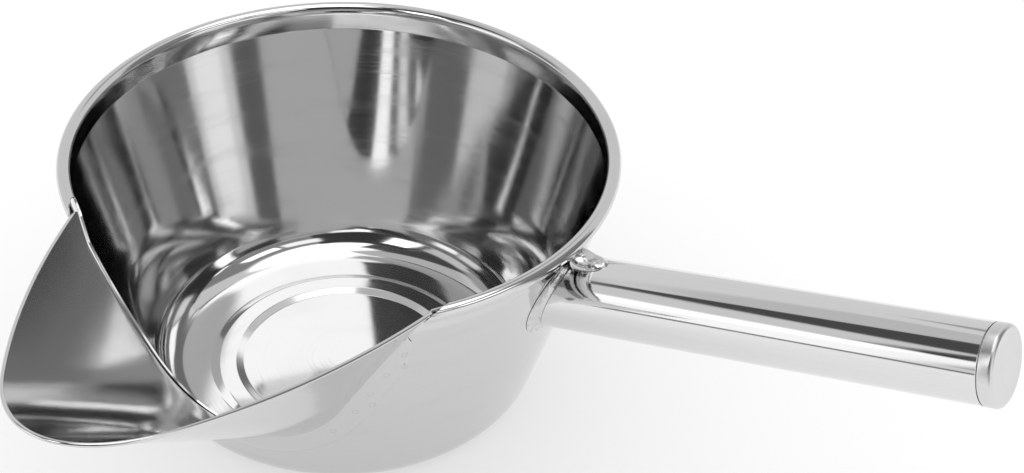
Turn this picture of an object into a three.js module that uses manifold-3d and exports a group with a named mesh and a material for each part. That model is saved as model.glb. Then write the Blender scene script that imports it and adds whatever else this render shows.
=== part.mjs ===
// Candle melting pot: an open stainless bowl with a rolled rim, a folded pouring spout lapped
// over a V-shaped notch in its wall, and a straight tube handle welded to the wall.
// Millimetres, +Z up. The origin is the middle of the bowl's underside, on the table plane,
// and +X is the side of the handle.

import * as THREE from 'three';
import Module from 'manifold-3d';
import { mergeVertices } from 'three/addons/utils/BufferGeometryUtils.js';

const wasm = await Module();
wasm.setup();

// ---------------------------------------------------------------- driving dimensions

const clearance = 0.3;        // gap kept between pieces that touch
const lapGap = 0.4;           // gap between the spout's laps and the wall that they lie on

// bowl
const sheet = 0.7;            // stainless sheet of the bowl and of the spout
const rimRadius = 95;         // over the rolled rim
const bowlHeight = 94.4;      // table to the top of the rolled rim
const rollRadius = 2.4;       // outside radius of the rolled rim
const rollSweep = 294;        // degrees that the rim is rolled round, from the collar
const collarHeight = 7.4;     // straight collar, from the crease to the middle of the roll
const floorRadius = 65.2;     // inside wall line carried down to the table plane
const wallBulge = 0.9;        // how far the wall swells out past a straight cone at mid height
const cornerRadius = 13.0;    // inside radius between floor and wall

// ring pressed into the floor
const ringOuterRadius = 48.4;
const ringInnerRadius = 36.6;
const ringRise = 1.0;
const ringSlope = 3.0;        // width of the ring's sloping edges

// spout
const spoutAngle = -80.3;     // degrees from the handle to the spout, seen from above
const spoutLength = 89;       // rim to the tip of the lip, measured level
const lipRise = 20.6;         // top of the rolled rim up to the tip of the lip
const notchHeight = 27.5;     // table to the bottom of the notch in the wall
const troughRadius = 43.7;    // radius of the folded bottom of the trough
const wallSlant = 37;         // degrees that the trough's sides lean out at the bowl
const tipSlant = 53.4;        // degrees that they lean out at the lip
const edgeDip = 1.2;          // how far the free edge dips below a straight line
const lapWidth = 10;          // flange of the spout that lies on the outside of the bowl
const cutInset = 0.6;         // how far the bowl's cut edge stands into the channel
const hemWidth = 2.0;         // folded hem along the free edge

// spot welds along the laps
const spotRadius = 1.7;
const spotHeight = 0.35;
const spotInset = 4.6;        // distance from the fold
const spotCount = 5;          // in the row beside the fold
const spotTopDrop = 7.2;      // from the crease down to the top spot
const spotBottomRise = 11.4;  // from the bottom of the notch up to the lowest spot
const edgeSpotInset = 8.2;    // distance from the fold of the odd spots near the lap's edge

// handle
const tubeRadius = 12.7;
const tubeWall = 0.8;
const gripLength = 144.2;     // tube standing out past the rim
const handleTilt = 14.1;      // degrees above level
const underRimGap = 3.85;     // underside of the rolled rim down to the top of the tube
const weldRoot = 2.1;         // gap between the coped tube and the wall, filled by the weld
const weldLeg = 2.0;          // width of the weld beyond the tube, top and bottom
const weldSideLeg = 4.2;      // width of the weld beyond the tube at its sides
const capLength = 4.8;        // end cap standing out of the tube
const capEdge = 1.3;          // radius of the cap's shoulder
const capWall = 1.0;          // pressed metal of the cap
const spigotLength = 9;       // part of the cap that plugs the tube
const tackLength = 11;        // tongue of weld from the rolled rim onto the tube
const tackWidth = 8.5;
const tackHeight = 1.3;       // thickness of the tongue where it lies on the tube
const tackRise = 3.6;         // how much higher it stands against the rolled rim

// fineness
const roundSides = 64;        // sides round the bowl
const tubeSides = 36;
const spoutSteps = 48;        // steps round the trough, from crease to crease

// ---------------------------------------------------------------- derived dimensions

const rad = THREE.MathUtils.degToRad;
const lerp = THREE.MathUtils.lerp;

const rollCentre = bowlHeight - rollRadius;
const neckHeight = rollCentre - collarHeight;
const collarRadius = rimRadius - 2 * rollRadius;
const rollMiddle = rimRadius - rollRadius;
const underRoll = rollCentre - rollRadius;

const lipReach = rimRadius + spoutLength;
const lipHeight = bowlHeight + lipRise;

// the handle's axis: the height at which it meets the bowl's axis, and the tube's end along it
const handleRise = underRoll - underRimGap - tubeRadius / Math.cos(rad(handleTilt))
  - rimRadius * Math.tan(rad(handleTilt));
const tubeEnd = rimRadius + gripLength;

// ---------------------------------------------------------------- mesh helpers

function tidy(geometry) {
  geometry.deleteAttribute('normal');
  geometry.deleteAttribute('uv');
  return mergeVertices(geometry, 1e-4);
}

function volumeOf(geometry) {
  const p = geometry.attributes.position, index = geometry.index.array;
  const [a, b, c] = [new THREE.Vector3(), new THREE.Vector3(), new THREE.Vector3()];
  let sum = 0;
  for (let i = 0; i < index.length; i += 3) {
    a.fromBufferAttribute(p, index[i]);
    b.fromBufferAttribute(p, index[i + 1]);
    c.fromBufferAttribute(p, index[i + 2]);
    sum += a.dot(b.cross(c)) / 6;
  }
  return sum;
}

// merged, without collapsed triangles, and with its faces pointing out
function closed(geometry) {
  const merged = tidy(geometry);
  const old = merged.index.array, kept = [];
  for (let i = 0; i < old.length; i += 3) {
    const [a, b, c] = [old[i], old[i + 1], old[i + 2]];
    if (a !== b && b !== c && c !== a) kept.push(a, b, c);
  }
  merged.setIndex(kept);
  if (volumeOf(merged) < 0) {
    for (let i = 0; i < kept.length; i += 3) [kept[i], kept[i + 1]] = [kept[i + 1], kept[i]];
    merged.setIndex(kept);
  }
  return merged;
}

function solid(geometry) {
  const merged = closed(geometry.index ? geometry.toNonIndexed() : geometry);
  return new wasm.Manifold(new wasm.Mesh({
    numProp: 3,
    vertProperties: new Float32Array(merged.attributes.position.array),
    triVerts: new Uint32Array(merged.index.array),
  }));
}

function geometryOf(manifold) {
  const mesh = manifold.getMesh();
  const geometry = new THREE.BufferGeometry();
  geometry.setAttribute('position', new THREE.BufferAttribute(mesh.vertProperties.slice(), 3));
  geometry.setIndex(new THREE.BufferAttribute(mesh.triVerts.slice(), 1));
  geometry.computeVertexNormals();
  return geometry;
}

// profile of [radius, height] points turned round Z
function turned(profile, sides) {
  const points = profile.map(([r, z]) => new THREE.Vector2(r, z));
  const first = points[0], last = points[points.length - 1];
  if (first.x > 1e-6 || last.x > 1e-6) points.push(first.clone());
  return new THREE.LatheGeometry(points, sides).rotateX(Math.PI / 2);
}

function quads(grid, wrapU, wrapV) {
  const rows = grid.length, columns = grid[0].length, out = [];
  for (let i = 0; i < (wrapU ? rows : rows - 1); i++) {
    for (let j = 0; j < (wrapV ? columns : columns - 1); j++) {
      const a = grid[i][j], b = grid[(i + 1) % rows][j];
      const c = grid[(i + 1) % rows][(j + 1) % columns], d = grid[i][(j + 1) % columns];
      out.push(a, b, c, a, c, d);
    }
  }
  return out;
}

function fromTriangles(points) {
  const geometry = new THREE.BufferGeometry();
  geometry.setAttribute('position',
    new THREE.Float32BufferAttribute(points.flatMap((p) => [p.x, p.y, p.z]), 3));
  return geometry;
}

// closed body between two grids of points that have the same rows and columns
function slab(front, back) {
  const flip = (list) => list.flatMap((_, i) => (i % 3 ? [] : [list[i], list[i + 2], list[i + 1]]));
  const last = front.length - 1, end = front[0].length - 1;
  const edge = (f, b) => quads([f, b], false, false);
  const column = (grid, j) => grid.map((row) => row[j]);
  return fromTriangles([
    ...quads(front, false, false),
    ...flip(quads(back, false, false)),
    ...flip(edge(front[0], back[0])),
    ...edge(front[last], back[last]),
    ...edge(column(front, 0), column(back, 0)),
    ...flip(edge(column(front, end), column(back, end))),
  ]);
}

// ---------------------------------------------------------------- shape of the bowl wall

// inside radius of the wall between the table plane and the crease
function wallInside(z) {
  const share = z / neckHeight;
  return lerp(floorRadius, collarRadius, share) + 4 * wallBulge * share * (1 - share);
}

// outside radius of the wall and, above the crease, of the collar
function wallOutside(z) {
  if (z >= neckHeight) return collarRadius + sheet;
  const rise = wallInside(z + 0.5) - wallInside(z - 0.5);
  return wallInside(z) + sheet * Math.hypot(1, rise);
}

// arc that joins the floor and the wall: its centre and the angle at which it meets the wall
function cornerArc() {
  let contact = sheet + cornerRadius * 0.7, lean = 0;
  for (let i = 0; i < 20; i++) {
    lean = Math.atan(wallInside(contact + 0.5) - wallInside(contact - 0.5));
    contact = sheet + cornerRadius * (1 - Math.sin(lean));
  }
  return { middle: wallInside(contact) - cornerRadius * Math.cos(lean), lean, contact };
}

// inner face of the sheet from the middle of the floor, up the wall and round the rolled rim
function innerFace(cornerSteps, wallSteps, rollSteps) {
  const corner = cornerArc(), path = [];
  path.push([0, sheet], [ringInnerRadius, sheet]);
  path.push([ringInnerRadius + ringSlope, sheet + ringRise]);
  path.push([ringOuterRadius - ringSlope, sheet + ringRise], [ringOuterRadius, sheet]);
  for (let i = 0; i <= cornerSteps; i++) {
    const turn = lerp(-Math.PI / 2, -corner.lean, i / cornerSteps);
    path.push([corner.middle + cornerRadius * Math.cos(turn),
      sheet + cornerRadius * (1 + Math.sin(turn))]);
  }
  for (let i = 1; i <= wallSteps; i++) {
    const z = lerp(corner.contact, neckHeight, i / wallSteps);
    path.push([wallInside(z), z]);
  }
  for (let i = 0; i <= rollSteps; i++) {
    const turn = Math.PI - rad(rollSweep) * i / rollSteps;
    path.push([rollMiddle + rollRadius * Math.cos(turn), rollCentre + rollRadius * Math.sin(turn)]);
  }
  return path;
}

// the same path moved to the right of its direction, with mitred corners
function offsetPath(path, distance) {
  return path.map(([r, z], i) => {
    const before = path[Math.max(i - 1, 0)], after = path[Math.min(i + 1, path.length - 1)];
    const a = new THREE.Vector2(r - before[0], z - before[1]);
    const b = new THREE.Vector2(after[0] - r, after[1] - z);
    if (a.length() < 1e-9) a.copy(b);
    if (b.length() < 1e-9) b.copy(a);
    const na = new THREE.Vector2(a.y, -a.x).normalize(), nb = new THREE.Vector2(b.y, -b.x).normalize();
    const miter = na.clone().add(nb).normalize();
    const reach = distance / miter.dot(na);
    return [Math.max(r + miter.x * reach, 0), z + miter.y * reach];
  });
}

// ---------------------------------------------------------------- shape of the trough

const outward = new THREE.Vector3(Math.cos(rad(spoutAngle)), Math.sin(rad(spoutAngle)), 0);
const across = new THREE.Vector3(-outward.y, outward.x, 0);
const notchReach = wallOutside(notchHeight) + lapGap;
const troughSlope = (lipHeight - notchHeight) / (lipReach - notchReach);
const foreshortening = 1 / Math.hypot(1, troughSlope);
const edgeStartReach = rimRadius * 0.72;
const edgeStartHeight = rollCentre + 1.3;

// height of the free edge at a distance from the bowl's axis
function edgeHeight(reach) {
  const share = (reach - edgeStartReach) / (lipReach - edgeStartReach);
  return lerp(edgeStartHeight, lipHeight, share) - 4 * edgeDip * share * (1 - share);
}

// point of the channel's face: reach from the bowl's axis, and girth from the bottom line,
// measured round the section; the section is an arc with a straight side on either hand
function troughPoint(reach, girth) {
  const share = (reach - notchReach) / (lipReach - notchReach);
  const slant = rad(lerp(wallSlant, tipSlant, share));
  const bend = Math.PI / 2 - slant, onArc = troughRadius * bend, g = Math.abs(girth);
  let half, rise;
  if (g <= onArc) {
    half = troughRadius * Math.sin(g / troughRadius);
    rise = troughRadius * (1 - Math.cos(g / troughRadius));
  } else {
    half = troughRadius * Math.sin(bend) + (g - onArc) * Math.sin(slant);
    rise = troughRadius * (1 - Math.cos(bend)) + (g - onArc) * Math.cos(slant);
  }
  const bottom = notchHeight + troughSlope * (reach - notchReach);
  return outward.clone().multiplyScalar(reach)
    .addScaledVector(across, Math.sign(girth) * half)
    .setZ(bottom + rise / foreshortening);
}

// the same point moved square to the sheet, away from the channel
function troughOffset(reach, girth, distance) {
  const step = 0.05;
  const along = troughPoint(reach + step, girth).sub(troughPoint(reach - step, girth));
  const round = troughPoint(reach, girth + step).sub(troughPoint(reach, girth - step));
  const normal = along.cross(round).normalize();
  if (normal.z > 0) normal.negate();
  return troughPoint(reach, girth).addScaledVector(normal, distance);
}

function bisect(low, high, isLow) {
  for (let i = 0; i < 40; i++) {
    const middle = (low + high) / 2;
    if (isLow(middle)) low = middle; else high = middle;
  }
  return (low + high) / 2;
}

// reach at which the trough, moved out by an offset, meets the wall, moved out by a gap
function reachAtWall(girth, gap, offset = 0) {
  return bisect(0, lipReach, (reach) => {
    const p = troughOffset(reach, girth, offset);
    return Math.hypot(p.x, p.y) < wallOutside(Math.min(p.z, rollCentre)) + gap;
  });
}

function reachAtEdge(girth) {
  return bisect(0, lipReach * 1.2, (reach) => troughPoint(reach, girth).z < edgeHeight(reach));
}

// girth at which the free edge comes down to the wall
const shortestSide = 1.5;
const lastGirth = bisect(0, 4 * troughRadius,
  (girth) => reachAtEdge(girth) - reachAtWall(girth, lapGap) > shortestSide);

// ---------------------------------------------------------------- laps of the spout

// point of the wall nearest to a given one, standing off it by a gap
function onWall(point, gap) {
  const radius = wallOutside(Math.min(point.z, rollCentre)) + gap;
  return point.clone().multiply(new THREE.Vector3(1, 1, 0)).setLength(radius).setZ(point.z);
}

function foldPoint(girth) {
  return troughPoint(reachAtWall(girth, lapGap), girth);
}

// point of the lap at a distance from the fold, on the side away from the notch
function lapPoint(girth, distance, gap = lapGap) {
  const fold = foldPoint(girth), step = 0.2;
  const along = foldPoint(girth + step).sub(foldPoint(girth - step)).normalize();
  const normal = new THREE.Vector3(fold.x, fold.y, 0).normalize();
  const away = normal.cross(along).normalize();
  const notchMiddle = troughPoint(notchReach, 0).setZ(bowlHeight);
  if (away.dot(fold.clone().sub(notchMiddle)) < 0) away.negate();
  return onWall(fold.addScaledVector(away, distance), gap);
}

// the lap narrows away to nothing at the crease
function lapWidthAt(girth) {
  const taper = lapWidth * 0.6;
  const share = THREE.MathUtils.clamp((neckHeight - foldPoint(girth).z) / taper, 0, 1);
  return lerp(clearance, lapWidth, Math.sqrt(share));
}

// girth of the fold line at a height, on one side
function girthAtHeight(height) {
  return bisect(0, lastGirth, (girth) => foldPoint(girth).z < height);
}

// ---------------------------------------------------------------- bowl

// everything above the channel's face moved out by an offset, near the wall
function notchCutter(offset) {
  const reaches = [0, 0.2, 0.5, 1].map((share) => lerp(edgeStartReach * 0.9, rimRadius * 1.3, share));
  const widest = lastGirth * 1.35, top = bowlHeight * 1.6;
  const face = reaches.map((reach) => {
    const row = [];
    for (let i = 0; i <= spoutSteps; i++) {
      row.push(troughOffset(reach, lerp(-widest, widest, i / spoutSteps), offset));
    }
    return row;
  });
  return solid(slab(face, face.map((row) => row.map((p) => p.clone().setZ(top)))));
}

function makeBowl() {
  const inner = innerFace(4, 4, 10);
  const outer = offsetPath(inner, sheet);
  const shell = solid(turned([...inner, ...outer.reverse()], roundSides));
  const cut = shell.subtract(notchCutter(-cutInset));
  // the rolled rim stops short of the spout's sheet, which passes its cut ends
  const rollZone = solid(turned([
    [collarRadius + sheet + clearance, underRoll - clearance],
    [rimRadius * 1.1, underRoll - clearance],
    [rimRadius * 1.1, bowlHeight + sheet],
    [collarRadius + sheet + clearance, bowlHeight + sheet],
  ], roundSides));
  const trim = notchCutter(sheet + clearance + cutInset).intersect(rollZone);
  return geometryOf(cut.subtract(trim));
}

// ---------------------------------------------------------------- spout

// girths of the rows of the sheet, one of them on each side where the fold crosses the crease
function spoutStations() {
  const creaseGirth = girthAtHeight(neckHeight), half = [], below = spoutSteps / 2, above = 6;
  for (let i = 0; i <= below; i++) half.push(creaseGirth * i / below);
  for (let i = 1; i <= above; i++) half.push(lerp(creaseGirth, lastGirth, i / above));
  return [...half.slice(1).map((girth) => -girth).reverse(), ...half];
}

// one folded sheet: rows run round the trough, columns from the lap's edge over the fold
// to the free edge, which is folded back on itself as a hem
function makeSpout() {
  const front = [], back = [], middles = 3, gap = 0.15;
  for (const girth of spoutStations()) {
    const start = reachAtWall(girth, lapGap);
    const startBack = reachAtWall(girth, lapGap + sheet, sheet);
    const end = reachAtEdge(girth);
    const hem = Math.max(end - Math.min(hemWidth, (end - start) * 0.4), startBack + gap);
    const width = lapWidthAt(girth);
    const lapSteps = [width, width * 2 / 3, width / 3];
    const faceRow = lapSteps.map((far) => lapPoint(girth, far));
    const backRow = lapSteps.map((far) => lapPoint(girth, far, lapGap + sheet));
    faceRow.push(troughPoint(start, girth));
    backRow.push(troughOffset(startBack, girth, sheet));
    for (let k = 1; k <= middles; k++) {
      faceRow.push(troughPoint(lerp(start, hem, k / middles), girth));
      backRow.push(troughOffset(lerp(startBack, hem, k / middles), girth, sheet));
    }
    faceRow.push(troughPoint(lerp(hem, end, 0.15), girth), troughPoint(end, girth));
    backRow.push(troughOffset(lerp(hem, end, 0.15), girth, 2 * sheet));
    backRow.push(troughOffset(end, girth, 2 * sheet));
    front.push(faceRow);
    back.push(backRow);
  }
  return geometryOf(solid(slab(front, back)));
}

// ---------------------------------------------------------------- spot welds

function makeSpot() {
  return closed(turned([
    [0, 0], [spotRadius, 0], [spotRadius * 0.92, spotHeight * 0.6],
    [spotRadius * 0.55, spotHeight], [0, spotHeight],
  ], 12).toNonIndexed());
}

// height of a spot, counted down from the top one; halves lie between two spots
function spotHeightAt(place) {
  const top = neckHeight - spotTopDrop, bottom = notchHeight + spotBottomRise;
  return lerp(top, bottom, place / (spotCount - 1));
}

// a spot weld on the outer face of a lap, standing square to the wall
function placeSpot(mesh, side, height, inset) {
  const girth = side * girthAtHeight(height);
  const standoff = lapGap + sheet + clearance;
  const foot = lapPoint(girth, inset, standoff);
  const lean = Math.atan(wallInside(foot.z + 0.5) - wallInside(foot.z - 0.5));
  const facing = new THREE.Vector3(foot.x, foot.y, 0).normalize();
  facing.multiplyScalar(Math.cos(lean)).setZ(-Math.sin(lean));
  mesh.quaternion.setFromUnitVectors(new THREE.Vector3(0, 0, 1), facing);
  mesh.position.copy(foot);
}

// ---------------------------------------------------------------- handle, in its own frame
// local +Z runs out along the tube, local +X is the tube's upper side

const toWorld = new THREE.Matrix4().makeTranslation(0, 0, handleRise)
  .multiply(new THREE.Matrix4().makeRotationY(Math.PI / 2 - rad(handleTilt)))
  .multiply(new THREE.Matrix4().makeRotationZ(Math.PI));
const toLocal = toWorld.clone().invert();

// solid body of the bowl's outside, moved out by a gap
function wallBody(gap) {
  const profile = [[0, -sheet]];
  for (let i = 0; i <= 8; i++) {
    const z = lerp(0, neckHeight, i / 8);
    profile.push([wallOutside(z) + gap, z === 0 ? -sheet : z]);
  }
  profile.push([wallOutside(neckHeight) + gap, bowlHeight], [0, bowlHeight]);
  return turned(profile, 2 * roundSides);
}

function makeTube() {
  const inner = tubeRadius - tubeWall;
  const body = solid(turned([
    [inner, 0], [tubeRadius, 0], [tubeRadius, tubeEnd], [inner, tubeEnd],
  ], tubeSides));
  return geometryOf(body.subtract(solid(wallBody(weldRoot).applyMatrix4(toLocal))));
}

// pressed cup whose skirt plugs the tube, open towards the bowl
function makeCap() {
  const plug = tubeRadius - tubeWall - clearance, hollow = plug - capWall;
  const start = tubeEnd + clearance, end = tubeEnd + capLength;
  const profile = [[0, end - capWall], [hollow, end - capWall], [hollow, tubeEnd - spigotLength],
    [plug, tubeEnd - spigotLength], [plug, start], [tubeRadius, start]];
  for (let i = 0; i <= 4; i++) {
    const turn = Math.PI / 2 * i / 4;
    profile.push([tubeRadius - capEdge * (1 - Math.cos(turn)), end - capEdge * (1 - Math.sin(turn))]);
  }
  profile.push([0, end]);
  return closed(turned(profile, tubeSides).toNonIndexed());
}

// distance along the handle's axis at which a line beside the axis meets the wall
function wallAlongHandle(radius, turn, gap) {
  const point = new THREE.Vector3();
  return bisect(0, 2 * rimRadius, (length) => {
    point.set(radius * Math.cos(turn), radius * Math.sin(turn), length).applyMatrix4(toWorld);
    return Math.hypot(point.x, point.y) < wallOutside(point.z) + gap;
  });
}

// fillet weld that fills the gap between the coped end of the tube and the wall: flush with the
// tube, flaring out on to the wall, and wider at the tube's sides
function makeHandleWeld() {
  const loops = [], inner = tubeRadius - tubeWall, flareSteps = 4;
  const wallCurve = 0.1;      // keeps the weld off the wall where it bends between its sections
  for (let i = 0; i < tubeSides; i++) {
    const turn = 2 * Math.PI * i / tubeSides;
    const leg = lerp(weldLeg, weldSideLeg, Math.sin(turn) ** 2);
    const at = (radius, length) =>
      new THREE.Vector3(radius * Math.cos(turn), radius * Math.sin(turn), length);
    const foot = (radius, gap) => at(radius, wallAlongHandle(radius, turn, gap));
    const gap = clearance + wallCurve, end = weldRoot - clearance, toeHeight = 0.2;
    const loop = [foot(inner, gap), foot(tubeRadius, gap), foot(tubeRadius + leg, gap)];
    for (let k = 0; k <= flareSteps; k++) {
      const sweep = Math.PI / 2 * k / flareSteps;
      loop.push(foot(tubeRadius + leg * (1 - Math.sin(sweep)),
        gap + toeHeight + (end - gap - toeHeight) * (1 - Math.cos(sweep))));
    }
    loop.push(foot(inner, end));
    loops.push(loop);
  }
  return closed(fromTriangles(quads(loops, true, true)));
}

// tongue of weld from under the rolled rim onto the top of the tube
function makeRimTack() {
  const front = [], back = [], rows = 8, columns = 8;
  const start = wallAlongHandle(tubeRadius, 0, weldRoot + clearance);
  for (let i = 0; i <= rows; i++) {
    const share = i / rows, lowRow = [], highRow = [];
    const half = tackWidth / 2 * Math.sqrt(Math.max(1 - share ** 4, 0.04));
    for (let j = 0; j <= columns; j++) {
      const side = lerp(-1, 1, j / columns), turn = side * half / tubeRadius;
      const crown = Math.sqrt(1 - side ** 2);
      const tongue = tackHeight * Math.sqrt(1 - share ** 2) + tackRise * (1 - share) ** 3;
      const length = start + tackLength * share;
      const at = (radius) => new THREE.Vector3(radius * Math.cos(turn), radius * Math.sin(turn), length);
      lowRow.push(at(tubeRadius + clearance));
      highRow.push(at(tubeRadius + clearance + Math.max(tongue * crown, 0.1)));
    }
    front.push(lowRow);
    back.push(highRow);
  }
  const ring = [];
  for (let i = 0; i < 16; i++) {
    const turn = 2 * Math.PI * i / 16, reach = rollRadius + clearance;
    ring.push([rollMiddle + reach * Math.cos(turn), rollCentre + reach * Math.sin(turn)]);
  }
  const roll = turned(ring, 2 * roundSides).applyMatrix4(toLocal);
  return geometryOf(solid(slab(front, back)).subtract(solid(roll)));
}

// ---------------------------------------------------------------- the object

const steel = {
  bowl: new THREE.MeshStandardMaterial({ color: 0xc9cbcd, roughness: 0.22, metalness: 1 }),
  spout: new THREE.MeshStandardMaterial({ color: 0xc6c8ca, roughness: 0.26, metalness: 1 }),
  tube: new THREE.MeshStandardMaterial({ color: 0xd4d6d8, roughness: 0.12, metalness: 1 }),
  cap: new THREE.MeshStandardMaterial({ color: 0xcfd1d3, roughness: 0.3, metalness: 1 }),
  weld: new THREE.MeshStandardMaterial({ color: 0xb9bbbd, roughness: 0.35, metalness: 1 }),
};

function named(name, geometry, material) {
  const mesh = new THREE.Mesh(geometry, material);
  mesh.name = name;
  return mesh;
}

const pot = new THREE.Group();
pot.add(named('bowl', makeBowl(), steel.bowl));
pot.add(named('spout', makeSpout(), steel.spout));

for (const [sideName, side] of [['left', -1], ['right', 1]]) {
  const foldRow = Array.from({ length: spotCount }, (_, i) => i);
  const edgeRow = foldRow.filter((i) => i % 2 && i < spotCount).map((i) => i - 0.5);
  const rows = [['spot_weld', foldRow, spotInset], ['edge_spot_weld', edgeRow, edgeSpotInset]];
  for (const [rowName, places, inset] of rows) {
    places.forEach((place, i) => {
      const spot = named(`${rowName}_${sideName}_${i + 1}`, makeSpot(), steel.weld);
      placeSpot(spot, side, spotHeightAt(place), inset);
      pot.add(spot);
    });
  }
}

const handle = new THREE.Group();
handle.applyMatrix4(toWorld);
handle.add(named('handle_tube', makeTube(), steel.tube));
handle.add(named('handle_end_cap', makeCap(), steel.cap));
handle.add(named('handle_weld', makeHandleWeld(), steel.weld));
handle.add(named('rim_tack_weld', makeRimTack(), steel.weld));
pot.add(handle);

export default pot;
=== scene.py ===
"""Candle melting pot: its fine surfaces, steel finishes and studio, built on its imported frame."""

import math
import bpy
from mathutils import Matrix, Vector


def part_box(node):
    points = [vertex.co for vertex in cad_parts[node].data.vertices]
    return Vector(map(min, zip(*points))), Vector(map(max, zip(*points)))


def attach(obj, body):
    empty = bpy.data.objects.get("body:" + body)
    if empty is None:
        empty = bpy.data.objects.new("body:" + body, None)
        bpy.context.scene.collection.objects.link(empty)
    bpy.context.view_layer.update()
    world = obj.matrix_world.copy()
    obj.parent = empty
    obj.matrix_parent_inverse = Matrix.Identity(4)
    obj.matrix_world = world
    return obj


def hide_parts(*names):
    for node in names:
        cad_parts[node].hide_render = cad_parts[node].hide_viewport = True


bl_info = {
    "name": "Candle Melting Pot",
    "version": (1, 0, 0),
    "blender": (4, 5, 0),
    "location": "3D View > Sidebar > Melting Pot",
    "description": "Builds a stainless melting pot with a folded spout and a tube handle",
    "category": "Object",
}

import bmesh
import bpy
import numpy as np
from bpy.props import FloatProperty, FloatVectorProperty, IntProperty, PointerProperty
from mathutils import Matrix, Vector

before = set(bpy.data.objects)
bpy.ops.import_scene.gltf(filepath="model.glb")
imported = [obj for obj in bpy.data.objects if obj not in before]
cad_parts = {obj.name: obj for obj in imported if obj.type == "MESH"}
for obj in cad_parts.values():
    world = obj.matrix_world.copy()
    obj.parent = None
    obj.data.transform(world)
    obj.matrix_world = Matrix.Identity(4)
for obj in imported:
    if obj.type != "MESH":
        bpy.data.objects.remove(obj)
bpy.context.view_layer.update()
BOWL_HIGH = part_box("bowl")[1]
BODY = "root"
MM = 0.001
WHITE = (1, 1, 1, 1)
LEFT_AND_RIGHT = (-1, 1)

# how finely the pieces are divided
BOWL_COLUMNS = 260
CORNER_ROWS = 22
WALL_ROWS = 34
ROLL_ROWS = 34
SPOUT_COLUMNS = 84
SPOUT_COLUMNS_ABOVE_CREASE = 16
SPOUT_ROWS = 30
BEND_ROWS = 9
TUBE_SIDES = 144
TUBE_ROWS = 46
CAP_SIDES = 128
SPOT_SIDES = 28
FILLET_SIDES = 160
FILLET_ROWS = 18
TONGUE_ROWS = 40

# roughness of each piece's steel, before the fine lines and marks roughen it further
BOWL_SHINE = 0.06
SPOUT_SHINE = 0.08
SPOT_SHINE = 0.2
TUBE_SHINE = 0.06
CAP_SHINE = 0.3


def length(name, description, millimetres, least=0.0):
    return FloatProperty(name=name, description=description, default=millimetres * MM, min=least,
                         precision=5, subtype="DISTANCE", unit="LENGTH")


def angle(name, description, degrees):
    return FloatProperty(name=name, description=description, default=math.radians(degrees),
                         subtype="ANGLE", unit="ROTATION")


def share(name, description, default):
    return FloatProperty(name=name, description=description, default=default, min=0.0, max=1.0,
                         subtype="FACTOR")


def strength(name, description, default):
    return FloatProperty(name=name, description=description, default=default, min=0)


def colour(name, description, grey):
    return FloatVectorProperty(name=name, description=description, subtype="COLOR", size=3, min=0.0,
                               max=1.0, default=(grey, grey, grey))


# ---------------------------------------------------------------- sizes


class BowlSizes(bpy.types.PropertyGroup):
    rim_radius: length("Rim radius", "Over the rolled rim", BOWL_HIGH.x / MM)
    height: length("Height", "Table to the top of the rolled rim", BOWL_HIGH.z / MM)
    sheet: length("Sheet", "Thickness of the bowl's and the spout's sheet", 0.7)
    roll_radius: length("Roll radius", "Outside radius of the rolled rim", 2.4)
    roll_sweep: angle("Roll sweep", "How far the rim is rolled round", 294)
    collar_height: length("Collar", "Straight part from the crease to the middle of the roll", 7.4)
    floor_radius: length("Floor radius", "Inside wall line carried down to the table", 65.2)
    wall_bulge: length("Wall bulge", "How far the wall swells past a cone at mid height", 0.9)
    corner_radius: length("Corner radius", "Inside radius between floor and wall", 13)
    ring_outer: length("Ring outside", "Outer radius of the ring pressed into the floor", 48.4)
    ring_inner: length("Ring inside", "Inner radius of the ring pressed into the floor", 36.6)
    ring_rise: length("Ring rise", "Height of the pressed ring", 1.0)
    ring_slope: length("Ring slope", "Width of the ring's sloping edges", 3.0)
    edge_round: length("Edge round", "Rounding of the sheet's cut edges", 0.14)


class SpoutSizes(bpy.types.PropertyGroup):
    turn: angle("Turn", "From the handle round to the spout, seen from above", -80.3)
    reach: length("Length", "Rim to the tip of the lip, measured level", 89)
    lip_rise: length("Lip rise", "Top of the rim up to the tip of the lip", 20.6)
    notch_height: length("Notch height", "Table to the bottom of the notch in the wall", 27.5)
    trough_radius: length("Trough radius", "Radius of the folded bottom of the trough", 43.7)
    wall_slant: angle("Slant at the bowl", "How far the trough's sides lean out at the bowl", 37)
    tip_slant: angle("Slant at the lip", "How far the trough's sides lean out at the lip", 53.4)
    edge_dip: length("Edge dip", "How far the free edge dips below a straight line", 1.2)
    edge_lift: length("Edge start", "Middle of the roll up to the start of the free edge", 1.3)
    edge_start: share("Edge start reach", "Start of the free edge, by the rim radius", 0.72)
    lap_width: length("Lap width", "Flange that lies on the outside of the bowl", 10)
    lap_gap: length("Lap gap", "Gap between the laps and the wall", 0.4)
    cut_inset: length("Cut inset", "How far the bowl's cut edge stands into the channel", 0.6)
    hem_width: length("Hem", "Width of the hem folded along the free edge", 2.0)
    bend_radius: length("Bend", "Reach of the rounded bend between trough and lap", 1.5)
    roll_gap: length("Roll gap", "How far the rolled rim stops short of the spout's sheet", 1.6)


class SpotSizes(bpy.types.PropertyGroup):
    radius: length("Radius", "Radius of a spot weld's mark", 1.3)
    height: length("Height", "Height of the raised ring of a mark", 0.055)
    inset: length("Inset", "From the fold to the row beside it", 4.6)
    edge_inset: length("Edge inset", "From the fold to the odd marks near the lap's edge", 8.2)
    count: IntProperty(name="Count", description="Marks in the row beside the fold", default=5,
                       min=2)
    top_drop: length("Top drop", "From the crease down to the top mark", 7.2)
    bottom_rise: length("Bottom rise", "From the notch up to the lowest mark", 11.4)


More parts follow.
